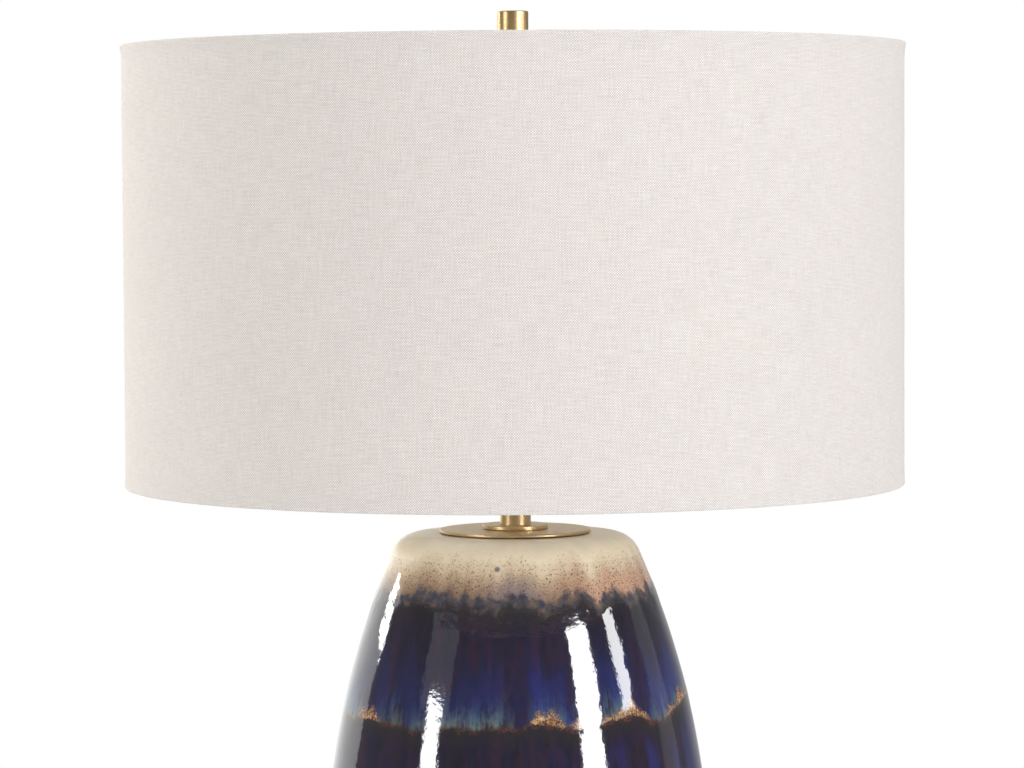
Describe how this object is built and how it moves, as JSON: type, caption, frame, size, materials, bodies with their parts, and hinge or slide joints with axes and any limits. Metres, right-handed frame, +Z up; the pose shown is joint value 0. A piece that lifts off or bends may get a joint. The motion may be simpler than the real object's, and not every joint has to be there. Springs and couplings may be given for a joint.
{
  "type": "table lamp",
  "caption": "Table lamp with an ovoid glazed ceramic body, brass neck and cap, turn-knob socket, wire harp and a linen drum shade held by a cylindrical finial.",
  "frame": {"origin": "on the table, at the middle of the foot's felt pad", "axes": "+Z up along the lamp's stem; the front, where the switch knob points, faces -Y; the cord bushing is at +Y; the harp's legs stand at +X and -X"},
  "size_m": [0.4064, 0.4064, 0.686],
  "materials": {
    "glaze": "glossy reactive glaze, cream over indigo, with rust speckles",
    "felt": "pressed felt",
    "brass": "satin, aged",
    "socket_brass": "polished, lacquered",
    "harp_brass": "brass-plated steel wire, satin",
    "contact_brass": "bright",
    "zinc_steel": "zinc plated",
    "foam": "closed-cell foam, matt",
    "black_plastic": "moulded",
    "black_phenolic": "moulded phenolic",
    "liner_card": "pressed insulating card",
    "clear_nylon": "natural nylon",
    "bulb_white": "satin moulded",
    "bulb_diffuser": "milky diffuser",
    "bulb_cap_metal": "rolled",
    "bulb_glass": "black insulator",
    "led_plate": "white solder mask",
    "led_yellow": "phosphor",
    "board_green": "circuit board",
    "ring_white": "powder coated",
    "liner_styrene": "translucent laminate backing",
    "linen": "fine plain-weave linen"
  },
  "bodies": {
    "base": {"felt_pad": "felt", "ceramic_body": "glaze", "cord_bushing": "black_plastic", "rod_bushings": "clear_nylon", "threaded_rod": "zinc_steel", "base_gasket": "foam", "base_washer": "zinc_steel", "base_lock_washer": "zinc_steel", "base_nut": "zinc_steel", "cap_gasket": "foam", "vase_cap": "brass", "check_ring": "brass", "neck_tube": "brass", "harp_saddle": "harp_brass", "saddle_locknut": "socket_brass", "socket_cap": "socket_brass", "socket_set_screw": "zinc_steel", "socket_shell": "socket_brass", "socket_liner": "liner_card", "socket_core": "black_phenolic", "terminal_plates": "contact_brass", "terminal_screws": "zinc_steel", "core_rivets": "zinc_steel", "screw_shell": "contact_brass", "centre_contact": "contact_brass"},
    "switch": {"switch_rotor": "clear_nylon", "switch_shaft": "zinc_steel", "switch_knob": "black_phenolic"},
    "bulb": {"bulb_tip_contact": "zinc_steel", "bulb_insulator": "bulb_glass", "bulb_screw_cap": "bulb_cap_metal", "bulb_housing": "bulb_white", "bulb_globe": "bulb_diffuser", "bulb_led_plate": "led_plate", "bulb_leds": "led_yellow", "bulb_driver_board": "board_green"},
    "harp": {"harp_wire": "harp_brass", "harp_crown": "harp_brass"},
    "right_sleeve": {"right_harp_sleeve": "harp_brass"},
    "left_sleeve": {"left_harp_sleeve": "harp_brass"},
    "harp_seat": {"harp_seat": "harp_brass"},
    "shade": {"fitter_hub": "ring_white", "fitter_arms": "ring_white", "shade_top_ring": "ring_white", "shade_bottom_ring": "ring_white", "shade_liner": "liner_styrene", "shade_fabric": "linen"},
    "finial": {"finial": "brass"}
  },
  "joints": [
    {"name": "knob_turn", "type": "hinge", "parent": "base", "child": "switch", "pos_m": [0, -0.02, 0.472], "axis": [0, 1, 0], "continuous": true},
    {"name": "bulb_unscrew", "type": "slide", "parent": "base", "child": "bulb", "axis": [0, 0, 1], "range_m": [0, 0.03]},
    {"name": "harp_lift", "type": "slide", "parent": "base", "child": "harp", "axis": [0, 0, 1], "range_m": [0, 0.05]},
    {"name": "right_sleeve_slide", "type": "slide", "parent": "harp", "child": "right_sleeve", "axis": [0, 0, 1], "range_m": [0, 0.012]},
    {"name": "left_sleeve_slide", "type": "slide", "parent": "harp", "child": "left_sleeve", "axis": [0, 0, 1], "range_m": [0, 0.012]},
    {"name": "shade_turn", "type": "hinge", "parent": "harp", "child": "harp_seat", "pos_m": [0, 0, 0.6544], "axis": [0, 0, 1], "continuous": true},
    {"name": "shade_lift", "type": "slide", "parent": "harp_seat", "child": "shade", "axis": [0, 0, 1], "range_m": [0, 0.24]},
    {"name": "finial_unscrew", "type": "slide", "parent": "shade", "child": "finial", "axis": [0, 0, 1], "range_m": [0, 0.03]}
  ]
}
